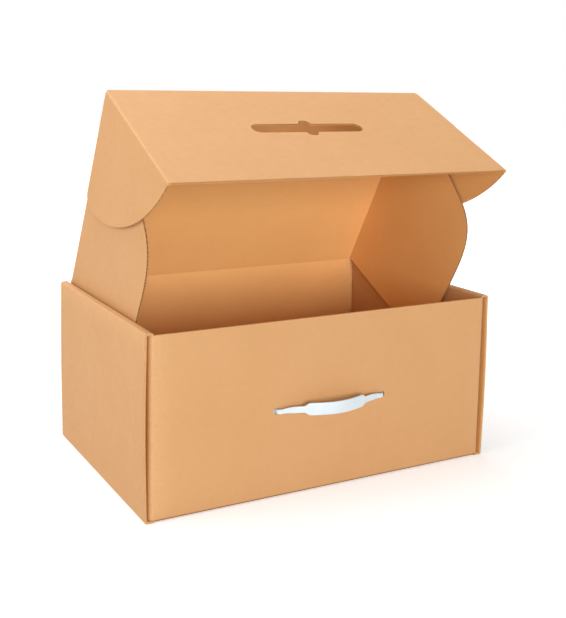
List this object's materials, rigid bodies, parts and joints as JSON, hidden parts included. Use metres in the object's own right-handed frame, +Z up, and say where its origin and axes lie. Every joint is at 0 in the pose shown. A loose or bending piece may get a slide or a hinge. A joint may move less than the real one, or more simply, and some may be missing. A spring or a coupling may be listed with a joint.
{
  "type": "mailer box",
  "caption": "Corrugated roll-end mailer box with a hinged lid, tucking front flap, ears and side flaps, and a plastic carry strap, standing open.",
  "frame": {"origin": "middle of the tray's underside", "axes": "+X to the right along the front, +Y towards the lid's hinge at the rear, +Z up"},
  "size_m": [0.485, 0.3438, 0.481],
  "materials": {
    "tray_board": "matte kraft liner over single-wall flutes",
    "lid_board": "matte kraft liner over single-wall flutes",
    "flap_board": "matte kraft liner over single-wall flutes",
    "strap_plastic": "smooth pale plastic, soft gloss"
  },
  "bodies": {
    "tray": {"tray": "tray_board"},
    "lid": {"lid_panel": "lid_board"},
    "front_flap": {"front_flap": "flap_board"},
    "ear_left": {"ear_left": "flap_board"},
    "ear_right": {"ear_right": "flap_board"},
    "side_flap_left": {"side_flap_left": "lid_board"},
    "side_flap_right": {"side_flap_right": "lid_board"},
    "carry_handle": {"carry_handle": "strap_plastic"}
  },
  "joints": [
    {"name": "lid_hinge", "type": "hinge", "parent": "tray", "child": "lid", "pos_m": [0, 0.15275, 0.21775], "axis": [-1, 0, 0], "range_deg": [-23, 120]},
    {"name": "front_flap_hinge", "type": "hinge", "parent": "lid", "child": "front_flap", "pos_m": [0, 0.0015, 0.47972], "axis": [1, 0, 0], "range_deg": [-86, 22]},
    {"name": "ear_left_hinge", "type": "hinge", "parent": "front_flap", "child": "ear_left", "pos_m": [-0.23005, 0.0015, 0.47972], "axis": [0, 0.8988, 0.4384], "range_deg": [-1, 88]},
    {"name": "ear_right_hinge", "type": "hinge", "parent": "front_flap", "child": "ear_right", "pos_m": [0.23005, 0.0015, 0.47972], "axis": [0, -0.8988, -0.4384], "range_deg": [-1, 88]},
    {"name": "side_flap_left_hinge", "type": "hinge", "parent": "lid", "child": "side_flap_left", "pos_m": [-0.226, 0.15167, 0.21713], "axis": [0, -0.5, 0.866], "range_deg": [0, 85]},
    {"name": "side_flap_right_hinge", "type": "hinge", "parent": "lid", "child": "side_flap_right", "pos_m": [0.226, 0.15167, 0.21713], "axis": [0, 0.5, -0.866], "range_deg": [0, 85]},
    {"name": "strap_slide", "type": "slide", "parent": "tray", "child": "carry_handle", "axis": [0, 1, 0], "range_m": [0, 0.003]}
  ]
}
